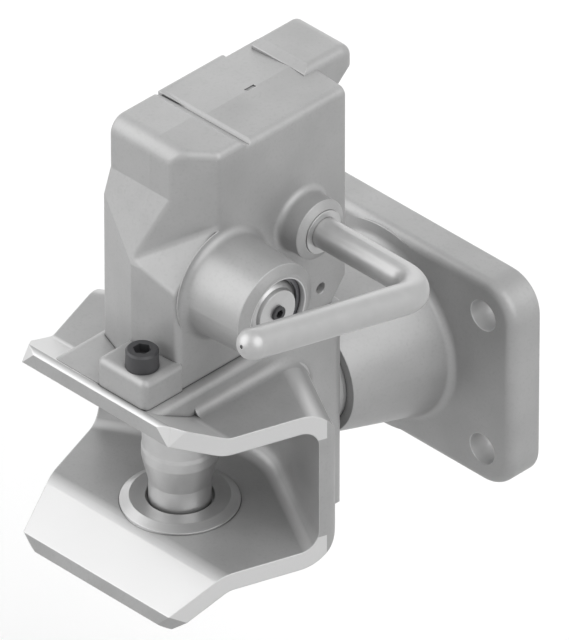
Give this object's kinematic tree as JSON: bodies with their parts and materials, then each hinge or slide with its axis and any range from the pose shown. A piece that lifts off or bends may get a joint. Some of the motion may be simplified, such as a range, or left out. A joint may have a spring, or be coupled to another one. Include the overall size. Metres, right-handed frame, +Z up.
{
  "type": "automatic tractor tow hitch",
  "caption": "Swivelling clevis tow hitch with a flared jaw, a lifting coupling pin worked by a bent hand lever, and a bolted flange with a conical neck.",
  "frame": {"origin": "centre of the flange's rear face, where it bolts to the tractor", "axes": "+Y to the tractor, along the swivel axis; +Z up, along the coupling pin; +X to the side of the hand lever"},
  "size_m": [0.2147, 0.2345, 0.2482],
  "materials": {
    "flange_casting": "blasted casting with a thin grey primer",
    "jaw_casting": "blasted casting with a thin grey primer",
    "housing_casting": "blasted casting with a thin grey primer",
    "lever_steel": "drawn round bar, satin grey",
    "pin_steel": "turned and hardened steel, fine satin",
    "wear_steel": "turned hardened steel ring",
    "inner_steel": "machined steel, oiled",
    "spring_steel": "dark spring steel",
    "black_screw": "black oxide on a 12.9 screw",
    "bush_bronze": "turned bronze",
    "zinc_steel": "zinc-plated steel"
  },
  "bodies": {
    "bearing": {"bearing_flange": "flange_casting", "front_bearing_bush": "wear_steel", "rear_bearing_bush": "bush_bronze", "grease_nipple": "zinc_steel"},
    "head": {"jaw": "jaw_casting", "housing": "housing_casting", "lower_wear_ring": "wear_steel", "upper_guide_bush": "wear_steel", "housing_screw": "black_screw", "locating_dowels": "inner_steel", "outer_lever_bush": "wear_steel", "inner_lever_bush": "bush_bronze", "shaft_plug": "housing_casting", "closing_spring": "spring_steel", "trigger_pivot": "inner_steel", "trigger_spring": "spring_steel", "plunger_spring": "spring_steel", "boss_cover": "lever_steel", "retaining_ring": "spring_steel", "cover_screw": "black_screw", "disc_spring": "spring_steel", "rear_washer": "zinc_steel", "castle_nut": "zinc_steel", "split_pin": "zinc_steel"},
    "pin": {"coupling_pin": "pin_steel"},
    "lever": {"hand_lever": "lever_steel", "lift_fork": "inner_steel", "fork_pin": "spring_steel"},
    "trigger": {"trigger_lever": "inner_steel"},
    "plunger": {"holding_plunger": "inner_steel"}
  },
  "joints": [
    {"name": "head_swivel", "type": "hinge", "parent": "bearing", "child": "head", "pos_m": [0, 0, 0], "axis": [0, 1, 0], "range_deg": [-90, 90]},
    {"name": "hand_lever_turn", "type": "hinge", "parent": "head", "child": "lever", "pos_m": [0, -0.1069, 0.1203], "axis": [-1, 0, 0], "range_deg": [0, 91.56], "stiffness_Nm_per_rad": 2, "springref_deg": -85.94},
    {"name": "pin_lift", "type": "slide", "parent": "head", "child": "pin", "axis": [0, 0, 1], "range_m": [0, 0.086]},
    {"name": "trigger_swing", "type": "hinge", "parent": "head", "child": "trigger", "pos_m": [0, -0.123, 0.08], "axis": [1, 0, 0], "range_deg": [0, 20], "stiffness_Nm_per_rad": 0.5, "springref_deg": -17.19},
    {"name": "plunger_slide", "type": "slide", "parent": "head", "child": "plunger", "axis": [1, 0, 0], "range_m": [0, 0.005], "stiffness_N_per_m": 1500, "springref_m": -0.01}
  ],
  "couplings": [
    {"joint": "pin_lift", "follows": "hand_lever_turn", "m_per_rad": 0.0538}
  ]
}
